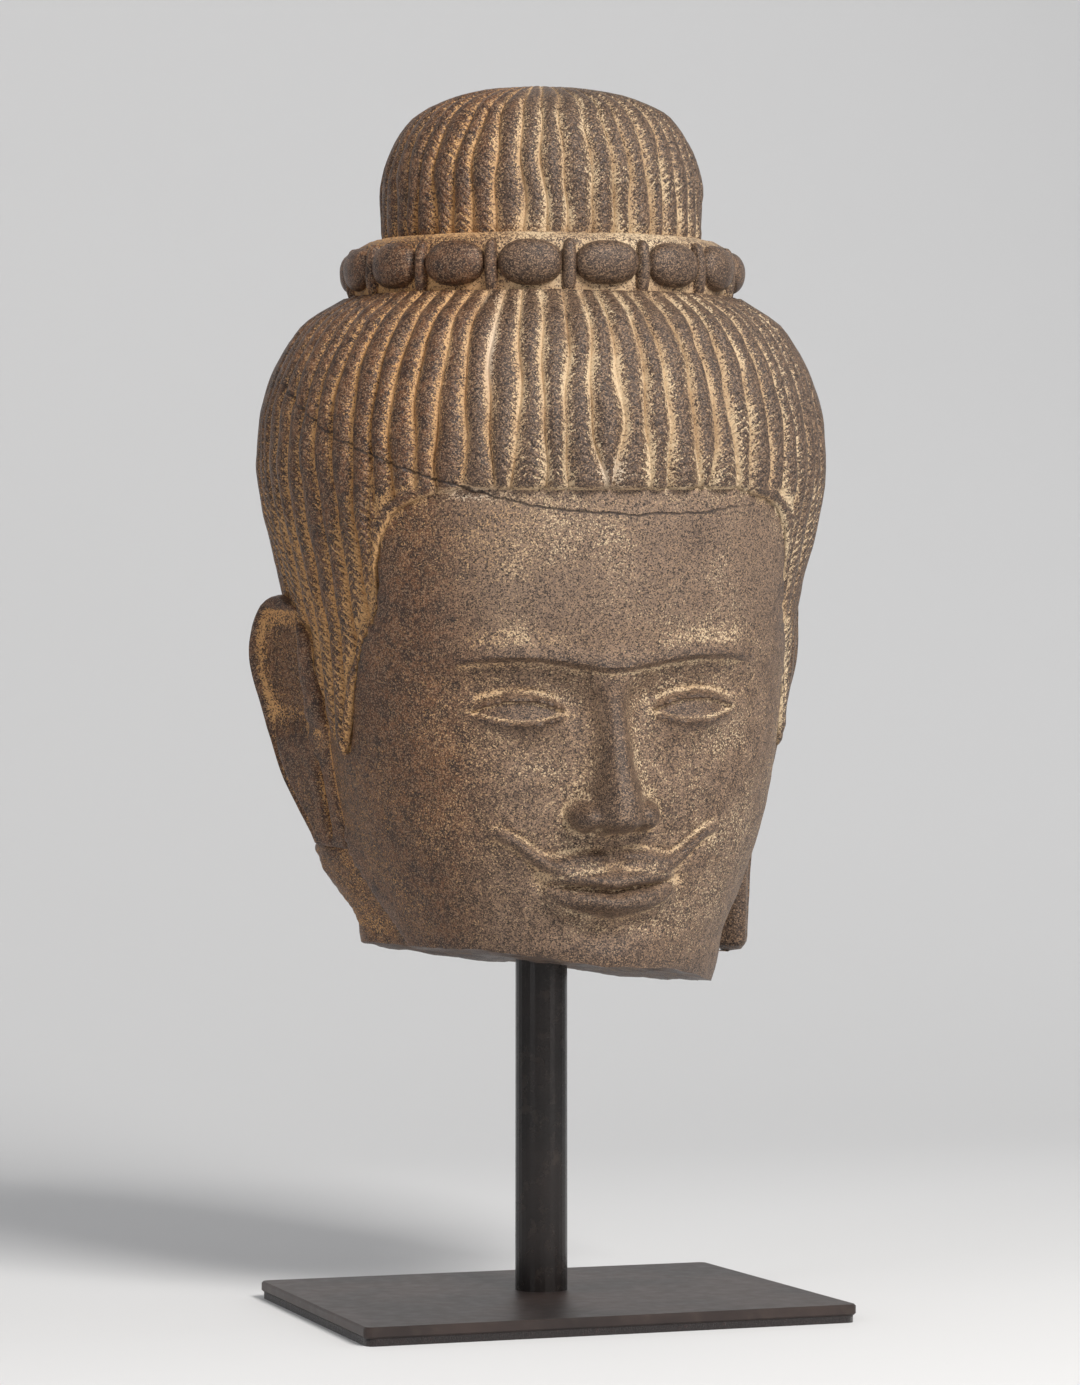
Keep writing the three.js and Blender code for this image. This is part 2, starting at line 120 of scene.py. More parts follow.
def ripple(x, seed, rate=1.0):
    """Gentle unevenness of a hand-cut line, about -1 to 1."""
    waves = ((1.0, 1.0, 12.9), (0.6, 2.3, 78.2), (0.4, 4.9, 37.7))
    return sum(size * np.sin(rate * x * pace + seed * shift) for size, pace, shift in waves) / 2


# Hair outline and surface

hair_edge_curve = through([
    (0, HAIRLINE), (26, HAIRLINE), (35, HAIRLINE - 0.8), (41, HAIRLINE - 2), (44.5, 52.2), (47, 49),
    (48.5, 43), (53.5, 39.5), (58.5, 34), (64.5, 26.4), (69.5, 28), (77.5, 36), (95.5, 36), (105.5, 20),
    (122.5, 14.5), (180, 13.5),
])
hair_radius = through([
    (10, 26.2), (20, 27.8), (30, 28.2), (40, 29.0), (47, 30.4), (54, 32.0), (58.8, 32.6),
    (63.5, 32.3), (68.2, 31.1), (71.8, 29.4), (74.8, 27.2), (HAIR_TOP, 22.6),
])
hair_front = through([(10, 1.02), (30, 1.05), (54, 1.02), (70, 1.0), (HAIR_TOP, 1.0)])
hair_back = through([(10, 0.92), (30, 1.02), (54, 1.05), (70, 1.02), (HAIR_TOP, 1.0)])


def hair_edge(deg):
    return hair_edge_curve(np.abs(deg + HAIR_TURN))


def border_distance(deg, z):
    """How far a place in the hair lies from the hair's outline, in percent of the head's height."""
    degree_width = 0.52
    slope = (hair_edge(deg + 0.5) - hair_edge(deg - 0.5)) / degree_width
    return (z - hair_edge(deg)) / np.sqrt(1 + slope ** 2)


def hair_surface(angle, z):
    depth = np.where(np.cos(angle) > 0, hair_front(z), hair_back(z))
    return hair_radius(z) / np.hypot(np.sin(angle), np.cos(angle) / depth)


# Skull and face. Each relief takes a place by its distance from the face's middle line and its height.
# It gives how far the form stands out, how deep its cut lines are and how far it was rubbed smooth.

half_width = through([
    (-6, 19.2), (0, 19.6), (5, 20.0), (10, 21.9), (15, 23.6), (20, 25.0), (26, 26.2),
    (32, 27.1), (38, 28.0), (46, 29.3), (55, 30.7), (62, 31.2), (70, 28.5), (76, 20),
])
front_depth = through([
    (-6, 24.2), (0, 26.2), (4, 27.9), (9, 28.6), (15, 28.8), (22, 28.7), (30, 28.7),
    (37, 29.8), (45, 31.4), (55, 32.0), (62, 31.7), (70, 28.5), (76, 20),
])
back_depth = through([
    (-6, 19), (0, 19.5), (10, 21.5), (20, 25), (30, 29),
    (40, 32), (55, 33), (62, 32.5), (70, 29), (76, 20),
])
squareness = through([(-6, 2.0), (8, 2.15), (20, 2.35), (35, 2.3), (55, 2.1), (76, 2)])
jaw_line = through([(20, -12), (40, -3), (55, 2.5), (68, 8), (79, 16), (86, 28), (92, 40)])
nose_ridge = through([
    (NOSE_BASE - 1, 0), (NOSE_BASE - 0.4, 0.6), (NOSE_BASE + 0.5, 4.4), (NOSE_BASE + 1.7, 6.2),
    (NOSE_BASE + 3, 6.1), (NOSE_BASE + 8, 4.1), (EYE + 0.5, 2.3), (EYE + 3.5, 1.5),
    (BROW, 0.7), (BROW + 5, 0),
])
nose_half = through([
    (NOSE_BASE, 3.2), (NOSE_BASE + 3, 2.9), (NOSE_BASE + 8, 2.0), (EYE, 1.7), (BROW, 3.2), (BROW + 4, 5),
])


def level_radius(angle, z):
    n = squareness(z)
    across = np.abs(np.sin(angle)) / half_width(z)
    along = np.abs(np.cos(angle)) / np.where(np.cos(angle) > 0, front_depth(z), back_depth(z))
    return (across ** n + along ** n) ** (-1 / n)


def blend(a, b, width):
    """The higher of two forms, run together softly where they meet."""
    top = np.maximum(a, b)
    return top + width * np.log1p(np.exp(-np.abs(a - b) / width)) - width * math.log(2) * np.exp(-top)


def eye_relief(side, z):
    ex = side - EYE_WIDTH
    t = ex / (0.5 * EYE_WIDTH)
    socket = -2.2 * bell(ex, 0.75 * EYE_WIDTH) * bell(z - EYE - 1.6, 3)
    inner = -1.1 * bell(ex + 0.58 * EYE_WIDTH, 0.2 * EYE_WIDTH) * bell(z - EYE - 0.8, 2.4)
    ball = 2.5 * np.exp(-(np.hypot(ex / (0.58 * EYE_WIDTH), (z - EYE) / 2.6) ** 2.4))
    bow = np.maximum(0, 1 - t * t)
    upper = EYE + 0.05 + 1.2 * bow
    lower = EYE - 0.15 - 0.95 * bow
    inside = ease(upper - z, -0.15, 0.2) * ease(z - lower, -0.15, 0.2) * (bow > 0)
    edge = 0.46 * (bell(z - upper - 0.2, 0.34) + 0.8 * bell(z - lower + 0.2, 0.34)) * ease(bow, 0, 0.15)
    crease = bell(z - upper - 1.15, 0.32) * ease(bow, 0.02, 0.3)
    rims = (bell(z - upper + 0.2, 0.22) + bell(z - lower - 0.2, 0.22)) * ease(bow, 0.02, 0.15)
    corners = bell(t - 1, 0.1) * bell(z - EYE, 0.35) + bell(t + 1, 0.12) * bell(z - EYE + 0.1, 0.4)
    form = socket + inner + ball - 0.5 * inside + edge - 0.45 * crease
    return form, crease + 0.8 * rims + corners, ease(ball, 0.9, 2.2) * (1 - crease) * (1 - rims)


def nose_relief(side, z):
    ridge = nose_ridge(z) * (0.82 * np.exp(-((side / nose_half(z)) ** 3)) + 0.18 * bell(side, 5))
    wing_place = np.hypot((side - 3.2) / 2.0, (z - NOSE_BASE - 1.8) / 1.9)
    wing = 4.3 * dome(wing_place ** 2)
    crease = bell(wing_place - 1.12, 0.14) * ease(side, 3, 4.4)
    nostril = bell(side - 2.2, 0.75) * bell(z - NOSE_BASE - 0.35, 0.45)
    form = blend(ridge, wing, 0.7)
    return form - 0.35 * crease - 1.5 * nostril, crease + nostril, ease(form, 1.2, 3.6)


def mouth_relief(side, z):
    run = np.maximum(0, 1 - (side / MOUTH_HALF) ** 2)
    line = MOUTH + 0.6 * (side / MOUTH_HALF) ** 2 - 0.25 * bell(side, 1.3)
    top = line + 2.2 * run ** 0.75 - 0.35 * bell(side, 0.9)
    low = line - 2.9 * run ** 0.6
    upper_lip = 1.9 * bell(z - line - 1.0, 1.05) * run ** 0.7
    lower_lip = 2.3 * bell(z - line + 1.45, 1.3) * run ** 0.7
    seam = bell(z - line, 0.34) * np.sqrt(run)
    outline = (bell(z - top - 0.75, 0.3) + 0.8 * bell(z - low + 0.5, 0.35)) * ease(run, 0, 0.25)
    rims = (0.3 * bell(z - top, 0.3) + 0.25 * bell(z - low, 0.32)) * ease(run, 0, 0.25)
    corner = bell(side - MOUTH_HALF - 0.2, 0.8) * bell(z - line, 0.9)
    muzzle = 1.2 * bell(side, 8) * bell(z - MOUTH - 1, 5.5)
    under_lip = -0.9 * bell(side, 6) * bell(z - MOUTH + 4.3, 1.4)
    philtrum = -0.25 * bell(side, 0.7) * bell(z - NOSE_BASE + 1.6, 1.5)
    form = upper_lip + lower_lip + rims + muzzle + under_lip + philtrum
    lips = ease(upper_lip + lower_lip, 0.5, 1.5) * (1 - seam)
    return form - 1.2 * seam - 0.6 * corner - 0.22 * outline, 0.8 * seam + corner + 0.7 * outline, lips


def moustache_relief(side, z):
    line = MOUTH + 3.2 + 2.7 * ease(side, 6, 13) - 0.8 * bell(side - 7, 2.6)
    taper = ease(side, 0.3, 1.6) * (1 - ease(side, 11.5, 13.5))
    width = 0.75 - 0.3 * ease(side, 7, 13)
    ridge = 0.75 * np.exp(-(np.abs((z - line) / width) ** 2.6))
    grooves = bell(z - line - width - 0.45, 0.3) + bell(z - line + width + 0.45, 0.3)
    return (ridge - 0.3 * grooves) * taper, 0.9 * grooves * taper, ease(ridge * taper, 0.2, 0.6)


def face_relief(side, z):
    """Brow, chin and cheeks, with all the features on them."""
    brow_line = BROW - 1 + 1.5 * bell(side - 1.1 * EYE_WIDTH, 0.85 * EYE_WIDTH)
    over, fade = z - brow_line, 1 - ease(side, 14, 19)
    brow = (0.75 * bell(over, 1.5) * ease(over, -1.0, 0.3) + 0.3 * bell(over, 0.36)) * fade
    chin = 1.7 * bell(side, 6) * bell(z - CHIN - 3.6, 3.2)
    cheek = 1.1 * bell(side - 12.5, 6.5) * bell(z - NOSE_BASE - 3, 6.5)
    features = [part(side, z) for part in (eye_relief, nose_relief, mouth_relief, moustache_relief)]
    form, lines, smooth = (sum(kind) for kind in zip(*features))
    lines = lines + 0.8 * bell(over + 0.75, 0.3) * fade
    smooth = smooth + ease(brow, 0.4, 0.9)
    return form + brow + chin + cheek, np.clip(lines, 0, 1), np.clip(smooth, 0, 1)


def face_points(angle, z):
    deg = angle / DEG
    edge = hair_edge(deg)
    jaw = jaw_line(np.abs(deg))
    neck = 1.9 * (1 - ease(z, jaw - 0.9, jaw + 0.9))
    stump = (3.2 + 1.7 * ease(z, 5, 14)) * bell(deg + 98, 17)
    stump = stump * (1 - ease(z, LOBE_BREAK - 1, LOBE_BREAK + 4))
    open_r = level_radius(angle, z) - neck + stump
    under = np.minimum(open_r, hair_surface(angle, z) - UNDER_HAIR)
    w = ease(z, edge, edge + 2)
    r = open_r * (1 - w) + under * w
    x = r * np.sin(angle)
    fade = ease(np.cos(angle), 0.05, 0.6) * (1 - ease(z, HAIRLINE - 4, HAIRLINE))
    form, lines, smooth = face_relief(np.abs(x), z)
    return np.stack([x, -r * np.cos(angle) - fade * form, z], -1), 1 - fade * lines, fade * smooth


# Mesh building

REGIONS = 7
SKIN, HAIR, BUN, BAND, BEAD, EAR, BREAK = range(REGIONS)


def ring_mesh(name, points, bottom, top, region, **values):
    """A closed mesh from rows of points, each end fanned to a pole, with values at every point.

    crest runs from 0 in a cut line to 1 on the plain stone or on a strand's middle line. along is the
    height of a place on a strand in mm. raised is 1 on features that stand out and were rubbed smooth.
    """
    rows, cols = points.shape[:2]
    verts = np.concatenate([points.reshape(-1, 3), [bottom, top]])
    i = np.arange(rows * cols).reshape(rows, cols)
    j = np.roll(i, -1, axis=1)
    quads = np.stack([i[:-1], j[:-1], j[1:], i[1:]], -1).reshape(-1, 4).tolist()
    low = rows * cols
    fans = [[low, b, a] for a, b in zip(i[0], j[0])]
    fans += [[low + 1, a, b] for a, b in zip(i[-1], j[-1])]
    mesh = bpy.data.meshes.new(name)
    mesh.from_pydata(verts.tolist(), [], quads + fans)
    mark(mesh, region)
    for kind, grid in values.items():
        set_values(mesh, kind, np.concatenate([grid.ravel(), [grid[0].mean(), grid[-1].mean()]]))
    return add_object(name, mesh)


def set_values(mesh, name, values):
    layer = mesh.attributes.get(name) or mesh.attributes.new(name, "FLOAT", "POINT")
    layer.data.foreach_set("value", np.ascontiguousarray(values, np.float32))


def get_values(mesh, name):
    values = np.empty(len(mesh.vertices), np.float32)
    mesh.attributes[name].data.foreach_get("value", values)
    return values


def mark(mesh, region):
    """Label every face with its region, and give every point the values of plain stone."""
    set_values(mesh, "crest", np.ones(len(mesh.vertices)))
    set_values(mesh, "along", np.zeros(len(mesh.vertices)))
    for _ in range(REGIONS):
        mesh.materials.append(None)
    mesh.polygons.foreach_set("material_index", np.full(len(mesh.polygons), region, np.int32))


def add_object(name, mesh):
    obj = bpy.data.objects.new(name, mesh)
    bpy.context.scene.collection.objects.link(obj)
    return obj


def combine(target, other, operation):
    """Add other to target or cut it away, then delete it."""
    modifier = target.modifiers.new("cut", "BOOLEAN")
    modifier.operation = operation
    modifier.solver = "MANIFOLD"
    modifier.object = other
    if hasattr(modifier, "material_mode"):
        modifier.material_mode = "INDEX"
    deps = bpy.context.evaluated_depsgraph_get()
    mesh = bpy.data.meshes.new_from_object(target.evaluated_get(deps))
    target.modifiers.clear()
    old = target.data
    target.data = mesh
    bpy.data.meshes.remove(old)
    mesh = other.data
    bpy.data.objects.remove(other)
    bpy.data.meshes.remove(mesh)


def spaced(*spans):
    """Runs of evenly spaced values: (from, to, step) each, ending on the last 'to'."""
    out = [np.linspace(a, b, max(2, round(abs(b - a) / step) + 1))[:-1] for a, b, step in spans]
    return np.concatenate(out + [[spans[-1][1]]])


def build_core():
    deg = spaced(
        (-180, -124, 6), (-124, -72, 1.6), (-72, -38, 0.9), (-38, 38, 0.56),
        (38, 72, 0.9), (72, 108, 3), (108, 180, 6),
    )[:-1]
    z = spaced(
        (-6, 0, 0.9), (0, 8.4, 0.6), (8.4, 17, 0.3), (17, 22, 0.26), (22, 28.4, 0.6),
        (28.4, 35.4, 0.26), (35.4, 39.8, 0.36), (39.8, 55.4, 1.2), (55.4, 57.4, 0.7), (57.4, 74, 4.5),
    )
    angle, level = np.meshgrid(deg * DEG, z)
    points, crest, raised = face_points(angle, level)
    return ring_mesh("core", points, (0, 0, z[0]), (0, 0, 75), SKIN, crest=crest, raised=raised)


# Places across one strand, from groove to groove, and the height of its rounded section there
ACROSS = np.array([0, 0.05, 0.13, 0.27, 0.5, 0.73, 0.87, 0.95])
CREST = 1 - np.abs(2 * ACROSS - 1) ** 2.5

# Strands whose two grooves run together at the forehead, how close they come, and the pull in degrees
MEETING = {31: 0.4, 35: 0.95, 37: 0.45, 39: 0.6, 41: 0.45}
MEETING_PULL = 2.45


def groove_angle(k, z, strands, start, jitter):
    """Angle of groove k in degrees, uneven as if cut by hand."""
    pitch = 360 / strands
    k = k % strands
    return (k + start) * pitch + jitter * pitch * ripple(z, 0.37 * k + 0.11 * k * k % 7, 0.16)


def build_hair():
    shares = np.concatenate([[0, 0.006, 0.016, 0.03, 0.05], np.linspace(0.075, 1, 46)])
    lip = np.array([1.0, 0.55, 0.22, 0.05] + [0] * (len(shares) - 4))
    pitch, first = 360 / HAIR_STRANDS, -HAIR_STRANDS / 2
    cols, crests = [], []
    for k in range(HAIR_STRANDS):
        base = (k + first) * pitch
        for s, crest in zip(ACROSS, CREST):
            lower_edge = float(hair_edge(base + pitch * s))
            z = lower_edge + shares * (HAIR_TOP - lower_edge)
            left = groove_angle(k, z, HAIR_STRANDS, first, 0.2)
            right = groove_angle(k + 1, z, HAIR_STRANDS, first, 0.2)
            right = np.where(right < left, right + 360, right)
            for strand, close in MEETING.items():
                pull = close * (1 - ease(z, 55.5, 63.5)) * MEETING_PULL
                if k == strand:
                    left, right = left + pull, right - pull
                if k == strand - 1:
                    right = right + pull
                if k == strand + 1:
                    left = left - pull
            deg = left + (right - left) * s
            angle = deg * DEG
            width = np.clip((right - left) / pitch, 0.15, 1.3)
            depth = HAIR_RIB * (0.85 + 0.3 * ripple(z, k * 0.71, 0.22)) * width ** 0.5
            off = border_distance(base + pitch * s, z)
            plait = ease(np.abs(base + pitch * s + HAIR_TURN), 33, 39) * (np.abs(base) < 70)
            strip = plait * (1 - ease(off, 0.9, 1.4))
            rib = depth * (2 * crest - 1.1) * (1 - strip)
            border = 0.3 * strip - 0.3 * plait * bell(off - 1.35, 0.3)
            r = hair_surface(angle, z) + rib + border - lip
            cols.append(np.stack([r * np.sin(angle), -r * np.cos(angle), z], -1))
            middle = 1 - abs(2 * s - 1)
            middle = middle + (1 - middle) * strip
            crests.append(middle * (1 - bell(off, 0.45)) * (1 - plait * bell(off - 1.4, 0.35)))
    points, crests = np.stack(cols, 1), np.stack(crests, 1)
    low, high = (0, 0, HAIRLINE), (0, 0, HAIR_TOP + 1)
    return ring_mesh("hair", points, low, high, HAIR, crest=crests, along=points[..., 2] * PERCENT_MM)


def bun_profile(count):
    knots = np.array([
        (BUN_RADIUS - 0.6, BAND_HIGH - 2), (BUN_RADIUS, BAND_HIGH + 1.6), (BUN_RADIUS, CROWN - 11.8),
        (BUN_RADIUS - 1.1, CROWN - 7.4), (BUN_RADIUS - 4, CROWN - 3.2), (BUN_RADIUS - 9, CROWN - 1),
        (5, CROWN - 0.15), (1.5, CROWN),
    ])
    run = np.concatenate([[0], np.cumsum(np.hypot(*np.diff(knots, axis=0).T))])
    r, z = through(list(zip(run, knots[:, 0]))), through(list(zip(run, knots[:, 1])))
    s = np.linspace(0, run[-1], count)
    return r(s), z(s), s


def build_bun():
    radius, z, run = bun_profile(30)
    cols = []
    for k in range(BUN_STRANDS):
        left = groove_angle(k, run, BUN_STRANDS, 0.2, 0.28)
        right = groove_angle(k + 1, run, BUN_STRANDS, 0.2, 0.28)
        right = np.where(right < left, right + 360, right)
        for s, crest in zip(ACROSS, CREST):
            angle = (left + (right - left) * s) * DEG
            rib = BUN_RIB * ease(radius, 2, 11) * (2 * crest - 1.1)
            rib = rib * (0.9 + 0.3 * ripple(run, k * 0.53, 0.3))
            r = radius + rib
            raised = z + 0.25 * rib * (z > BUN_SHOULDER)
            cols.append(np.stack([r * np.sin(angle), -r * np.cos(angle), raised], -1))
    points = np.stack(cols, 1)
    middle = np.tile(1 - np.abs(2 * ACROSS - 1), BUN_STRANDS)[None].repeat(len(run), 0)
    along = run[:, None].repeat(points.shape[1], 1) * PERCENT_MM
    low, high = (0, 0, BAND_HIGH - 2), (0, 0, CROWN)
    return ring_mesh("bun", points, low, high, BUN, crest=middle, along=along)


def build_band():
    profile = through([
        (BAND_LOW, BAND_RADIUS - 0.9), (BAND_LOW + 0.7, BAND_RADIUS - 0.4),
        (BAND_MIDDLE, BAND_RADIUS - 0.35),
        (BAND_HIGH - 0.7, BAND_RADIUS - 0.9), (BAND_HIGH, BAND_RADIUS - 2.2),
    ])
    angle, level = np.meshgrid(np.arange(180) * 2 * DEG, np.linspace(BAND_LOW, BAND_HIGH, 12))
    r = profile(level) + 0.12 * ripple(angle / DEG, 3.3, 0.35)
    points = np.stack([r * np.sin(angle), -r * np.cos(angle), level], -1)
    low, high = (0, 0, BAND_LOW), (0, 0, BAND_HIGH)
    return ring_mesh("band", points, low, high, BAND, crest=np.full_like(r, 0.12))


def lump(half_w, half_h, rise, power, turn, tilt, drop=0.0):
    """A rounded cushion standing on the band at the angle turn: its rings and its two poles."""
    u = np.linspace(-math.pi / 2, math.pi / 2, 15)[1:-1]
    v = np.arange(28) * 2 * math.pi / 28
    vv, uu = np.meshgrid(v, u)

    def squared(a):
        return np.sign(a) * np.abs(a) ** (2 / power)

    x = half_w * np.cos(uu) * squared(np.cos(vv))
    z = half_h * np.cos(uu) * squared(np.sin(vv))
    y = rise * squared(np.sin(uu))
    x, z = x * math.cos(tilt) - z * math.sin(tilt), x * math.sin(tilt) + z * math.cos(tilt)
    base = BAND_RADIUS - 0.5
    px, py = x, -(base + y)
    c, s = math.cos(turn), math.sin(turn)
    points = np.stack([px * c - py * s, px * s + py * c, z + BAND_MIDDLE + drop], -1)
    low, high = ((s * reach, -c * reach, BAND_MIDDLE + drop) for reach in (base - rise, base + rise))
    return points, low, high


def build_beads():
    verts, faces, regions = [], [], []
    count = 0
    for i in range(2 * BEADS):
        turn = (BEAD_TURN + i * 180 / BEADS) * DEG
        wobble = ripple(i * 1.7, 2.2)
        if i % 2 == 0:
            half_w, half_h = BEAD_WIDTH / 2 * (1 + 0.05 * wobble), BEAD_HEIGHT / 2 * (1 - 0.05 * wobble)
            points, low, high = lump(half_w, half_h, BEAD_RISE, 2.25, turn, 0.05 * wobble)
        else:
            half_w, half_h = BAR_WIDTH / 2, BAR_HEIGHT / 2
            points, low, high = lump(half_w, half_h, BAR_RISE, 2.6, turn, 0.04 * wobble, -0.5)
        rows, cols = points.shape[:2]
        a = np.arange(rows * cols).reshape(rows, cols) + count
        b = np.roll(a, -1, axis=1)
        faces += np.stack([a[:-1], b[:-1], b[1:], a[1:]], -1).reshape(-1, 4).tolist()
        low_i, high_i = count + rows * cols, count + rows * cols + 1
        faces += [[low_i, q, p] for p, q in zip(a[0], b[0])]
        faces += [[high_i, p, q] for p, q in zip(a[-1], b[-1])]
        verts += points.reshape(-1, 3).tolist() + [low, high]
        count += rows * cols + 2
    mesh = bpy.data.meshes.new("beads")
    mesh.from_pydata(verts, [], faces)
    mark(mesh, BEAD)
    return add_object("beads", mesh)


# Ears

ear_front = through([
    (LOBE_END, 2.6), (2.2, 1.2), (6, 0.7), (14, 0.6), (22, 0.2), (27, -0.5), (35, -0.9), (39, -0.3),
    (EAR_TOP - 1.5, 2.6), (EAR_TOP, 6.4),
])
ear_rear = through([
    (LOBE_END, 4), (2.2, 5.4), (6, 6.2), (13.5, 6.9), (18, 8.7), (23.5, 10.9), (30.5, 11.8), (37, 12.3),
    (40, 11.5), (EAR_TOP - 1.2, 9.6), (EAR_TOP, 7.4),
])
ear_root = through([
    (LOBE_END, 21.9), (14, 22.3), (23.5, 24.4), (30.5, 25.8), (36, 26.9), (EAR_TOP, 27.3),
])
ear_thickness = through([
    (LOBE_END, 0.6), (LOBE_END + 0.6, 2), (LOBE_END + 2, 3.2), (9, 3.8), (16, 7), (EAR_TOP, 7),
])


def ear_form(share, z, lowest):
    """Height of the ear's outer face, and the depth from 0 to 1 of the lines cut in it."""
    u = ear_front(z) + (ear_rear(z) - ear_front(z)) * share
    rear = np.minimum(ear_rear(z) - u, (EAR_TOP - z) * 0.8)
    d = np.minimum(rear, u - ear_front(z))
    edge = 1.5 * dome((1 - np.clip(d / 1.0, 0, 1)) ** 2)
    upper = ease(z, 26, 31)
    rim = bell(rear - 1.1 - 0.55 * upper, 0.42) * ease(z, lowest + 0.5, lowest + 4)
    front = 1.9 + 0.8 * (1 - ease(z, 29.5, 33))
    inner = bell(u - front, 0.42) * ease(z, 28.6, 30) * ease(EAR_TOP - z, 1.8, 2.8)
    root = 1.1 * (1 - ease(u, front - 0.5, front + 0.4)) * ease(z, 28, 31) * ease(EAR_TOP - z, 0.5, 3)
    shell = ease(u - front, 0, 1.3) * ease(rear, 1.3, 2.6) * upper
    lobe = 3.7 - 0.8 * ease(z, 16, 25)
    slit = bell(u - lobe, 0.42) * ease(z, lowest + 0.5, lowest + 3) * (1 - ease(z, 23.5, 26))
    tip = 1.6 * (1 - dome((1 - np.clip((z - lowest) / 1.6, 0, 1)) ** 2)) * (lowest < LOBE_BREAK)
    height = edge + root - 0.8 * rim - 0.7 * inner - 1.3 * shell - 1.4 * slit - tip
    return height, np.clip(1.15 * rim + inner + slit, 0, 1)


def build_ear(side, lowest, name):
    levels = spaced((lowest + 0.3, EAR_TOP - 0.6, 0.62), (EAR_TOP - 0.6, EAR_TOP, 0.2))
    levels = np.concatenate([[lowest], levels])
    shares = np.concatenate([[0, 0.015, 0.05], np.linspace(0.09, 0.91, 26), [0.95, 0.985, 1]])

    def across(share, z):
        return ear_front(z) + (ear_rear(z) - ear_front(z)) * share

    share, z = np.meshgrid(shares, levels)
    face, cut = ear_form(share, z, lowest)
    face = face - np.where(z == lowest, 0.35, 0)
    back_share, back_z = np.meshgrid([0.8, 0.5, 0.2], levels)
    back = -ear_thickness(back_z)
    u = np.hstack([across(share, z), across(back_share, back_z) - 0.5])
    out, level = np.hstack([face, back]), np.hstack([z, back_z])
    crest = 1 - np.hstack([cut, np.zeros_like(back)])

    def place(u, out, level):
        return np.stack([
            side * (ear_root(level) + u * math.sin(EAR_FLARE) + out * math.cos(EAR_FLARE)),
            EAR_PLACE + u * math.cos(EAR_FLARE) - out * math.sin(EAR_FLARE),
            level,
        ], -1)

    points = place(u, out, level)
    if side < 0:
        points, crest = points[:, ::-1], crest[:, ::-1]
    low, high = (place(across(0.5, v), -0.5, v).tolist() for v in (lowest, EAR_TOP))
    return ring_mesh(name, points, low, high, EAR, crest=crest)


# The break under the chin: a rough surface that falls to the statue's left, with the drilled hole

def build_breaker():
    n = 110
    x, y = np.meshgrid(np.linspace(-0.19, 0.19, n), np.linspace(-0.19, 0.21, n))
    height = BREAK_LEVEL - math.tan(BREAK_FALL) * x
    layers = ((0.0028, 22, 3.1), (0.0012, 70, 7.7), (0.0006, 190, 1.7))
    rough = np.array([
        sum(size * noise.noise(Vector((a * pace, b * pace, shift))) for size, pace, shift in layers)
        for a, b in zip(x.ravel(), y.ravel())
    ]).reshape(x.shape)
    front = -0.0035 * bell(x + 0.03, 0.06) * (1 - ease(y, -0.12, -0.04))
    top = np.stack([x, y, height + rough + front], -1).reshape(-1, 3)
    low = top.copy()
    low[:, 2] = BREAKER_FLOOR
    i = np.arange(n * n).reshape(n, n)
    quads = np.stack([i[:-1, :-1], i[:-1, 1:], i[1:, 1:], i[1:, :-1]], -1).reshape(-1, 4)
    rim = np.concatenate([i[0, :-1], i[:-1, -1], i[-1, :0:-1], i[:0:-1, 0]])
    after = np.roll(rim, -1)
    walls = np.stack([rim + n * n, after + n * n, after, rim], -1)
    faces = np.concatenate([quads, quads[:, ::-1] + n * n, walls])
    mesh = bpy.data.meshes.new("breaker")
    mesh.from_pydata(np.concatenate([top, low]).tolist(), [], faces.tolist())
    mark(mesh, BREAK)
    return add_object("breaker", mesh)


def build_drill():
    low, high = 0.1, SOCKET_TOP
    angle, level = np.meshgrid(np.arange(64) * 2 * math.pi / 64, [low, high])
    points = np.stack([SOCKET_RADIUS * np.cos(angle), POST_Y + SOCKET_RADIUS * np.sin(angle), level], -1)
    return ring_mesh("drill", points, (0, POST_Y, low), (0, POST_Y, high), BREAK)


def build_head():
    head = build_core()
    parts = [build_hair(), build_bun(), build_band(), build_beads()]
    parts += [build_ear(1, LOBE_END, "ear_l"), build_ear(-1, LOBE_BREAK, "ear_r")]
    for part in parts:
        combine(head, part, "UNION")
    head.data.transform(HEAD_POSE)
    combine(head, build_breaker(), "DIFFERENCE")
    combine(head, build_drill(), "DIFFERENCE")
    return head


# The old break through the hair and brow, as angles and heights on the stone. Distances from it are
# measured with the stone laid out flat at this radius in mm.

CRACK = [
    (-82, 67.8), (-66.5, 64), (-59.5, 62), (-52, 60.4), (-44, 58.8), (-35.5, 57.3), (-25.5, 55.7),
    (-18, 54.6), (-11.5, 54), (0.5, 53.5), (17, 53.7), (39, 55),
]
CRACK_RADIUS = 132

# Stains and bruises, and painted light and shade: angle and height of the middle, then reach in degrees
# and in percent. The broad dark mark at 38 degrees is painted shade on the hair, and the broad ochre marks
# at -18 degrees on the hair and the forehead are painted light.
PALE_MARKS = [(-28, 76.6, 1.8, 0.8), (-28.5, 55.6, 6, 0.9), (-2, 58, 3, 1.6), (-25.5, 71, 1.2, 4)]
DARK_MARKS = [(16.5, 51.5, 3.2, 2.2), (-60, 52, 12, 9), (-8, 62, 7, 4), (38, 64, 16, 12)]
OCHRE_AND_PAINTED_LIGHT_MARKS = [
    (-36.5, 62.5, 3.5, 4), (24, 62, 9, 5), (-76, 44, 8, 9), (20, 90, 18, 6), (-23, 50.5, 6, 4),
    (-18, 66.5, 24, 6), (-24, 91.5, 20, 6), (-18, 51.5, 14, 4),
]
BARBED_MARKS = [(25, 60.5, 16, 7), (-10, 58, 14, 4), (25, 92, 26, 5), (-48, 90, 14, 6)]


def marks(places, angle, z):
    """Strength of a set of marks at each place, from 0 to 1."""
    reach = [np.hypot((angle / DEG - a) / wide, (z - level) / high) for a, level, wide, high in places]
    return np.clip(sum(bell(near, 1) for near in reach), 0, 1)


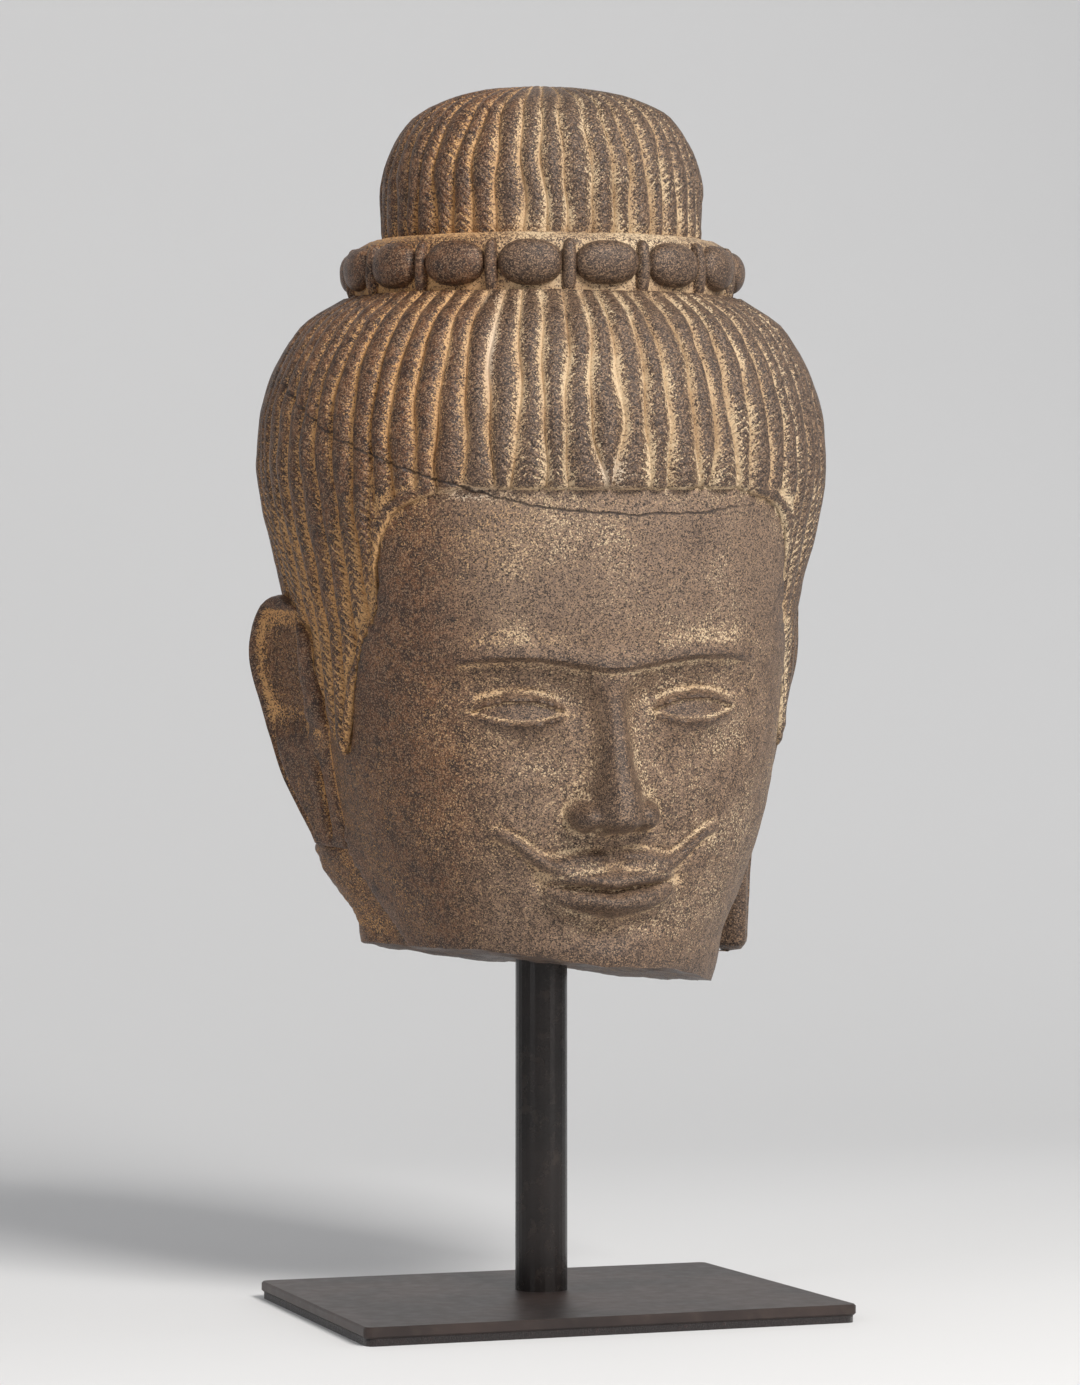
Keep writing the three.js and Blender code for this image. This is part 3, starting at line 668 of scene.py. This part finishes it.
def crack_distance(angle, z):
    """Signed distance to the crack in mm, and how far along it a point lies from 0 to 1."""
    points = np.array([(a * DEG * CRACK_RADIUS, h * PERCENT_MM) for a, h in CRACK])
    here = np.stack([angle * CRACK_RADIUS, z * PERCENT_MM], -1)
    best = np.full(len(here), 1e3)
    place = np.zeros(len(here))
    for i, (p, q) in enumerate(zip(points[:-1], points[1:])):
        d = q - p
        t = np.clip(((here - p) @ d) / (d @ d), 0, 1)
        off = here - p - t[:, None] * d
        side = np.sign(off[:, 1] * d[0] - off[:, 0] * d[1])
        dist = np.hypot(*off.T) * np.where(side == 0, 1, side)
        closer = np.abs(dist) < np.abs(best)
        best = np.where(closer, dist, best)
        place = np.where(closer, (i + t) / (len(points) - 1), place)
    return best, place


def smooth_values(values, edges, count, rounds):
    """Values at the points, drawn towards the mean of their neighbours again and again."""
    a, b = edges.T
    near = np.bincount(a, minlength=count) + np.bincount(b, minlength=count)
    near = np.maximum(near, 1)
    for _ in range(rounds):
        total = np.stack([np.bincount(a, v[b], count) + np.bincount(b, v[a], count) for v in values.T], -1)
        values = 0.5 * values + 0.5 * total / near[:, None]
    return values


def finish_head(head):
    """Wear and unevenness on the surface, and the values that the stone's material reads."""
    mesh = head.data
    count = len(mesh.vertices)
    co = np.empty(count * 3)
    mesh.vertices.foreach_get("co", co)
    co = co.reshape(-1, 3)
    normal = np.empty(count * 3)
    mesh.vertex_normals.foreach_get("vector", normal)
    normal = normal.reshape(-1, 3)
    back = np.array(HEAD_POSE.inverted())
    local = co @ back[:3, :3].T + back[:3, 3]
    angle, z = np.arctan2(local[:, 0], -local[:, 1]), local[:, 2]

    region = np.empty(len(mesh.polygons), np.int32)
    mesh.polygons.foreach_get("material_index", region)
    starts = np.empty(len(mesh.polygons), np.int32)
    sizes = np.empty(len(mesh.polygons), np.int32)
    mesh.polygons.foreach_get("loop_start", starts)
    mesh.polygons.foreach_get("loop_total", sizes)
    corner = np.empty(len(mesh.loops), np.int32)
    mesh.loops.foreach_get("vertex_index", corner)
    of_corner = np.repeat(region, sizes)
    faces_at = np.maximum(np.bincount(corner, minlength=count), 1)

    def share(*kinds):
        return np.bincount(corner, np.isin(of_corner, kinds), count) / faces_at

    edges = np.empty(len(mesh.edges) * 2, np.int32)
    mesh.edges.foreach_get("vertices", edges)
    edges = edges.reshape(-1, 2)
    hollow = np.zeros(count)
    for rounds, reach, weight in ((4, 0.00028, 1.0), (24, 0.0012, 0.55)):
        soft = smooth_values(co, edges, count, rounds)
        hollow = np.maximum(hollow, weight * np.clip(((soft - co) * normal).sum(1) / reach, 0, 1))

    soft = smooth_values(co, edges, count, 40)
    proud = np.clip(-((soft - co) * normal).sum(1) / 0.0016, 0, 1)
    proud = np.maximum(proud, 0.85 * get_values(mesh, "raised") * share(SKIN))

    rough = share(BREAK)
    stump = bell(angle / DEG + 97, 14) * (1 - ease(z, LOBE_BREAK - 1, LOBE_BREAK + 1)) * share(SKIN)
    gap, place = crack_distance(angle, z)
    outside = (1 - rough) * (co[:, 2] > BREAK_LEVEL - 0.02)

    def lumps(pace, shift=(0, 0, 0)):
        return np.array([noise.noise(Vector(p) * pace + Vector(shift)) for p in co])

    move = 0.00035 * lumps(55) + 0.00022 * lumps(150, (7, 3, 1))
    move -= 0.0009 * ease(lumps(38, (1, 9, 4)), 0.42, 0.7) * share(HAIR, BUN, BEAD, BAND)
    move += 0.0013 * (lumps(120, (5, 5, 5)) + 0.6 * lumps(300)) * stump
    cut = bell(gap, 1.5) * (1 - ease(place, 0.86, 1.0))
    move -= 0.0007 * cut
    co += normal * (move * outside)[:, None]
    mesh.vertices.foreach_set("co", co.ravel())

    in_hair = share(HAIR, BUN)
    sides = ease(np.abs(angle), 0.5, 1.05) * (1 - ease(z, 50, 62))
    barbs = 0.25 + 0.85 * sides + 0.65 * marks(BARBED_MARKS, angle, z)
    kinds = {
        "hair": in_hair,
        "hollow": hollow,
        "proud": proud,
        "carved": share(HAIR, BUN, BAND, EAR) + 0.8 * share(SKIN),
        "skin": share(SKIN),
        "pale": marks(PALE_MARKS, angle, z),
        # The dark mark at 38 degrees is painted shade on the hair; the other dark marks are stains and
        # bruises
        "shade": marks(DARK_MARKS, angle, z),
        # The broad ochre marks at -18 degrees are painted light on the hair and the forehead; the other
        # ochre marks are stains
        "ochre": marks(OCHRE_AND_PAINTED_LIGHT_MARKS, angle, z),
        "barbs": in_hair * np.clip(barbs, 0, 1),
        "left": ease(-np.sin(angle), 0.15, 0.85),
        "rough": np.clip(rough, 0, 1),
        "stump": np.clip(stump, 0, 1),
        "gap": np.clip(gap, -30, 30),
        "gap_on": 1 - ease(place, 0.9, 1.0),
        "level": z,
    }
    for kind, values in kinds.items():
        set_values(mesh, kind, values)
    mesh.polygons.foreach_set("material_index", np.zeros(len(mesh.polygons), np.int32))
    mesh.materials.clear()
    mesh.polygons.foreach_set("use_smooth", np.ones(len(mesh.polygons), bool))
    mesh.set_sharp_from_angle(angle=math.radians(62))
    mesh.update()


# Materials

class Graph:
    """Short ways to write a node material."""

    def __init__(self, name):
        self.material = bpy.data.materials.new(name)
        self.material.use_nodes = True
        self.tree = self.material.node_tree
        self.shader = self.tree.nodes["Principled BSDF"]
        self.position = self.tree.nodes.new("ShaderNodeTexCoord").outputs["Object"]

    def add(self, kind, settings=None, **inputs):
        """A node of this kind. An input is given by its name, or as i0, i1 and so on by its number."""
        node = self.tree.nodes.new("ShaderNode" + kind)
        for key, value in (settings or {}).items():
            setattr(node, key, value)
        for key, value in inputs.items():
            numbered = key[0] == "i" and key[1:].isdigit()
            self.put(node.inputs[int(key[1:]) if numbered else key], value)
        return node

    def put(self, socket, value):
        if isinstance(value, bpy.types.NodeSocket):
            self.tree.links.new(value, socket)
        else:
            socket.default_value = value

    def value(self, name):
        return self.add("Attribute", {"attribute_name": name}).outputs["Fac"]

    def math(self, operation, a, b=0.0):
        return self.add("Math", {"operation": operation}, i0=a, i1=b).outputs[0]

    def plus(self, a, b):
        return self.math("ADD", a, b)

    def less(self, a, b):
        return self.math("SUBTRACT", a, b)

    def times(self, a, b):
        return self.math("MULTIPLY", a, b)

    def swing(self, noise, strength):
        """How far a noise stands above or below its middle, this many times as strong."""
        return self.times(self.less(noise, 0.5), strength)

    def grains(self, scale):
        """A value from 0 to 1 of its own for each grain of the stone."""
        cells = self.add("TexVoronoi", Vector=self.position, Scale=scale).outputs["Color"]
        return self.add("SeparateColor", i0=cells).outputs[0]

    def noise(self, scale, detail=3.0, roughness=0.55):
        node = self.add("TexNoise", Vector=self.position, Scale=scale, Detail=detail, Roughness=roughness)
        return node.outputs["Fac"]

    def step(self, x, low, high, to_low=0.0, to_high=1.0):
        """A soft step from one value to another as x goes from low to high."""
        kind = {"interpolation_type": "SMOOTHSTEP"}
        return self.add("MapRange", kind, i0=x, i1=low, i2=high, i3=to_low, i4=to_high).outputs[0]

    def mix(self, share, a, b):
        node = self.add("Mix", {"data_type": "RGBA"})
        self.put(node.inputs[0], share)
        self.put(node.inputs[6], a)
        self.put(node.inputs[7], b)
        return node.outputs[2]

    def bump(self, height, distance, strength=1.0, normal=None):
        node = self.add("Bump", Height=height, Distance=distance, Strength=strength)
        if normal is not None:
            self.put(node.inputs["Normal"], normal)
        return node.outputs[0]


def rgb(r, g, b):
    """A colour as seen on screen, 0 to 255, for a shader's socket."""
    linear = [c / 255 / 12.92 if c <= 10 else ((c / 255 + 0.055) / 1.055) ** 2.4 for c in (r, g, b)]
    return (*linear, 1.0)


# Colours of the stone, from its darker to its lighter patches where there are two
COOL_STONE = rgb(86, 66, 52), rgb(122, 99, 82)
WARM_STONE = rgb(56, 31, 17), rgb(108, 70, 42)
BROKEN_STONE = rgb(66, 50, 42), rgb(104, 84, 70)
PAINTED_LIGHT_UPPER_FACE = rgb(136, 114, 97)
WORN_STONE = rgb(74, 56, 44)
DARK_STAIN_AND_PAINTED_SHADE = rgb(74, 58, 48)
LIGHT_GRAIN, DARK_GRAIN = rgb(168, 136, 106), rgb(30, 19, 13)
OCHRE = rgb(186, 156, 122), rgb(214, 190, 156)
WARM_OCHRE, PALE_OCHRE, DEEP_OCHRE = rgb(198, 148, 92), rgb(232, 220, 202), rgb(128, 96, 68)
CRACK_COLOUR = rgb(44, 33, 29)


def ochre_dust_and_painted_light(g, hair, skin, left, level, stroke, combed, broad, patch, mottle, grain, grit):
    """Share of ochre dusting on the stone, grain by grain: it gathers in grooves, cuts and hollows. The
    broad ochre marks at -18 degrees add painted light, and the dark mark at 38 degrees takes ochre away as
    painted shade.
    """
    crest, matted = g.value("crest"), g.times(g.times(hair, g.step(level, 62, 50)), left)
    valley = g.step(g.plus(crest, g.swing(mottle, 0.8)), -0.1, 1.0, 1.0, 0.0)
    valley = g.times(g.times(valley, g.value("carved")), g.less(0.52, g.times(matted, 0.1)))
    hollow = g.times(g.step(g.value("hollow"), 0.15, 1.0), g.less(0.3, g.times(skin, 0.14)))
    amount = g.math("MAXIMUM", valley, hollow)
    for more in (
        g.times(g.times(g.less(1.0, stroke), combed), 0.4),
        g.times(matted, 0.14),
        g.times(g.value("stump"), 0.3),
        g.swing(patch, 0.45),
        g.times(g.times(g.less(mottle, 0.5), hair), 0.4),
        g.swing(broad, 0.4),
        g.times(g.value("proud"), -0.3),
        g.times(hair, -0.06),
        g.times(skin, -0.04),
        # Painted light from the broad ochre marks at -18 degrees, along with the ochre stains
        g.times(g.value("ochre"), 0.14),
        # Painted shade from the dark mark at 38 degrees, along with the dark stains
        g.times(g.value("shade"), -0.14),
        g.times(g.value("pale"), 0.2),
        g.step(left, 0.0, 1.0, 0.2, 0.15),
    ):
        amount = g.plus(amount, more)
    speck = g.plus(g.times(grit, 0.62), g.times(g.plus(g.swing(grain, 2.4), 0.5), 0.38))
    return g.step(g.plus(speck, amount), 0.8, 1.06)


def stone_material():
    g = Graph("sandstone")
    hair, skin, proud, rough = g.value("hair"), g.value("skin"), g.value("proud"), g.value("rough")
    pale, shade, level, left = g.value("pale"), g.value("shade"), g.value("level"), g.value("left")
    broad, patch, mottle = g.noise(8, 3), g.noise(34, 4, 0.6), g.noise(150, 4, 0.65)
    grain, fine = g.noise(1400, 2, 0.75), g.noise(2400, 2, 0.7)
    grit, chips = g.grains(1550), g.grains(1900)
    patches = g.step(mottle, 0.35, 0.65)

    # Herringbone strokes that rise from each groove of the hair
    phase = g.less(g.math("DIVIDE", g.value("along"), 4.2), g.times(g.value("crest"), 1.3))
    phase = g.plus(phase, g.times(mottle, 1.2))
    stroke = g.step(g.math("PINGPONG", phase, 0.5), 0.05, 0.32)
    combed = g.times(g.value("barbs"), g.step(patch, 0.36, 0.56, 0.3, 1.0))
    dust_and_painted_light = ochre_dust_and_painted_light(g, hair, skin, left, level, stroke, combed, broad, patch, mottle, grain, grit)

    cool = g.mix(patches, *COOL_STONE)
    # Painted light: the skin grows lighter from the brows upwards, for the light falling on the forehead
    cool = g.mix(g.times(g.times(skin, g.step(level, 36, 46)), 0.6), cool, PAINTED_LIGHT_UPPER_FACE)
    worn = g.math("MAXIMUM", g.times(g.less(1.0, skin), 0.6), g.times(proud, 0.75))
    cool = g.mix(worn, cool, WORN_STONE)
    # Dark stains and bruises, and painted shade from the dark mark at 38 degrees
    cool = g.mix(g.times(shade, 0.6), cool, DARK_STAIN_AND_PAINTED_SHADE)
    base = g.mix(g.step(g.plus(left, g.swing(broad, 1.2)), 0.1, 0.9), cool, g.mix(patches, *WARM_STONE))
    base = g.mix(g.times(g.step(chips, 0.6, 0.95), 0.56), base, LIGHT_GRAIN)
    base = g.mix(g.times(g.step(chips, 0.46, 0.1), 0.92), base, DARK_GRAIN)

    ochre = g.mix(g.step(patch, 0.35, 0.65), *OCHRE)
    ochre = g.mix(g.times(left, 0.85), ochre, WARM_OCHRE)
    ochre = g.mix(g.times(pale, 0.6), ochre, PALE_OCHRE)
    ochre = g.mix(g.times(g.step(fine, 0.5, 0.3), 0.45), ochre, DEEP_OCHRE)
    broken = g.mix(g.times(dust_and_painted_light, 0.4), g.mix(patches, *BROKEN_STONE), ochre)
    colour = g.mix(rough, g.mix(dust_and_painted_light, base, ochre), broken)

    gap = g.plus(g.value("gap"), g.swing(mottle, 4.0))
    crack = g.times(g.step(g.math("ABSOLUTE", gap), 0.15, 0.8, 1.0, 0.0), g.value("gap_on"))
    colour = g.mix(g.times(crack, 0.8), colour, CRACK_COLOUR)

    shine = g.plus(g.step(dust_and_painted_light, 0.0, 0.6, 0.46, 0.85), g.times(grain, 0.16))
    g.put(g.shader.inputs["Roughness"], g.less(shine, g.times(proud, 0.14)))
    g.put(g.shader.inputs["Base Color"], colour)
    g.shader.inputs["Specular IOR Level"].default_value = 0.45
    coarse = g.plus(g.times(grain, 0.45), g.plus(g.times(fine, 0.25), g.times(grit, 0.3)))
    normal = g.bump(g.times(stroke, combed), 0.0011, 0.9)
    normal = g.bump(mottle, 0.0009, 0.5, normal)
    normal = g.bump(coarse, 0.0008, 0.9, normal)
    normal = g.bump(g.times(crack, -1.0), 0.0008, 0.9, normal)
    g.put(g.shader.inputs["Normal"], normal)
    return g.material


POST_STEEL = rgb(38, 31, 29), rgb(24, 20, 19)
PLATE_STEEL = rgb(66, 54, 50), rgb(46, 38, 36)
STEEL_SPOTS = rgb(92, 80, 70)
FELT = rgb(14, 12, 12), rgb(46, 36, 36)
FELT_TUFTS = rgb(70, 44, 42)
PAPER = rgb(224, 224, 225)


def steel_material(name, light, dark, roughness):
    g = Graph(name)
    broad, mottle, grain = g.noise(16, 4, 0.6), g.noise(120, 4, 0.6), g.noise(900, 2, 0.6)
    colour = g.mix(g.step(broad, 0.35, 0.65), dark, light)
    colour = g.mix(g.times(g.step(mottle, 0.5, 0.72), 0.16), colour, STEEL_SPOTS)
    g.put(g.shader.inputs["Base Color"], colour)
    g.shader.inputs["Metallic"].default_value = 0.35
    g.put(g.shader.inputs["Roughness"], g.plus(g.times(mottle, 0.2), roughness))
    skin = g.plus(g.times(mottle, 0.7), g.times(grain, 0.3))
    g.put(g.shader.inputs["Normal"], g.bump(skin, 0.0002, 0.5))
    return g.material


def felt_material():
    g = Graph("felt")
    fibre, tuft = g.noise(1400, 3, 0.75), g.noise(260, 4, 0.7)
    colour = g.mix(g.step(fibre, 0.35, 0.7), *FELT)
    colour = g.mix(g.times(g.step(tuft, 0.55, 0.75), 0.4), colour, FELT_TUFTS)
    g.put(g.shader.inputs["Base Color"], colour)
    g.shader.inputs["Roughness"].default_value = 1.0
    g.shader.inputs["Sheen Weight"].default_value = 0.4
    g.put(g.shader.inputs["Normal"], g.bump(g.plus(fibre, tuft), 0.0006, 0.9))
    return g.material


def plain_material(name, colour, roughness):
    g = Graph(name)
    cloud = g.noise(1.2, 2)
    g.put(g.shader.inputs["Base Color"], g.mix(cloud, colour, tuple(min(1, c * 1.03) for c in colour)))
    g.shader.inputs["Roughness"].default_value = roughness
    return g.material


def dress(node, material):
    """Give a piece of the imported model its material."""
    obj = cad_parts[node]
    obj.data.materials.clear()
    obj.data.materials.append(material)
    return obj


# The object

head = build_head()
head.name = "carved_head"
finish_head(head)
head.data.materials.append(stone_material())
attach(head, "root")
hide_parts("stone_head")

dress("stand_post", steel_material("post_steel", *POST_STEEL, 0.16))
dress("stand_plate", steel_material("plate_steel", *PLATE_STEEL, 0.34))
dress("stand_felt_pad", felt_material())

# Floor, light and camera

# The paper lies on the floor and bends up into a wall, in metres
PAPER_HALF_WIDTH, PAPER_NEAR, PAPER_TOP = 7.0, -6.0, 6.0
BEND_START, BEND_RADIUS = 0.9, 1.8

sweep = [(PAPER_NEAR, 0.0)]
for turn in np.linspace(0, 0.5 * math.pi, 15):
    sweep.append((BEND_START + BEND_RADIUS * math.sin(turn), BEND_RADIUS - BEND_RADIUS * math.cos(turn)))
sweep.append((BEND_START + BEND_RADIUS + 0.02, PAPER_TOP))
floor_mesh = bpy.data.meshes.new("floor")
floor_mesh.from_pydata(
    [(x, y, height) for y, height in sweep for x in (-PAPER_HALF_WIDTH, PAPER_HALF_WIDTH)], [],
    [(2 * i, 2 * i + 1, 2 * i + 3, 2 * i + 2) for i in range(len(sweep) - 1)],
)
floor = add_object("floor", floor_mesh)
floor_mesh.materials.append(plain_material("paper", PAPER, 0.85))
floor_mesh.polygons.foreach_set("use_smooth", np.ones(len(floor_mesh.polygons), bool))


def area_light(name, position, target, size, power, colour):
    """A rectangular lamp turned to its target, its power in watts."""
    data = bpy.data.lights.new(name, "AREA")
    data.shape = "RECTANGLE"
    data.size, data.size_y = size
    data.energy = power
    data.color = colour
    obj = bpy.data.objects.new(name, data)
    bpy.context.scene.collection.objects.link(obj)
    obj.location = position
    obj.rotation_euler = (Vector(target) - Vector(position)).to_track_quat("-Z", "Y").to_euler()
    return obj


area_light("key", (0.5, -2.2, 1.9), (0, 0, 0.4), (0.9, 0.9), 88, (1.0, 0.98, 0.945))
area_light("fill", (-2.4, -1.2, 1.2), (0, 0, 0.35), (0.4, 2.0), 10, (0.97, 0.98, 1.0))
area_light("side", (2.2, 0.2, 1.3), (0, 0, 0.35), (0.3, 1.8), 3.5, (0.98, 0.99, 1.0))
area_light("strip", (1.5, -1.8, 0.35), (0, 0, 0.25), (0.14, 0.7), 3.5, (1.0, 0.99, 0.98))
area_light("wall", (2.4, 0.7, 0.5), (2.6, 2.7, 1.1), (0.8, 0.8), 5, (0.98, 0.99, 1.0))

world = bpy.data.worlds.new("studio")
bpy.context.scene.world = world
world.use_nodes = True
air = world.node_tree.nodes["Background"]
air.inputs["Color"].default_value = (0.93, 0.94, 0.95, 1)
air.inputs["Strength"].default_value = 0.36

CAMERA_PLACE = (-0.5010, -1.3777, 0.1890)
CAMERA_PITCH, CAMERA_HEADING = 94.28 * DEG, -19.8 * DEG
FOCAL_LENGTH, SENSOR_WIDTH = 77.98, 36

camera_data = bpy.data.cameras.new("camera")
camera = bpy.data.objects.new("camera", camera_data)
bpy.context.scene.collection.objects.link(camera)
camera.location = CAMERA_PLACE
camera.rotation_euler = (CAMERA_PITCH, 0, CAMERA_HEADING)
camera_data.sensor_width = SENSOR_WIDTH
camera_data.lens = FOCAL_LENGTH
bpy.context.scene.camera = camera
bpy.context.scene.view_settings.view_transform = "Standard"
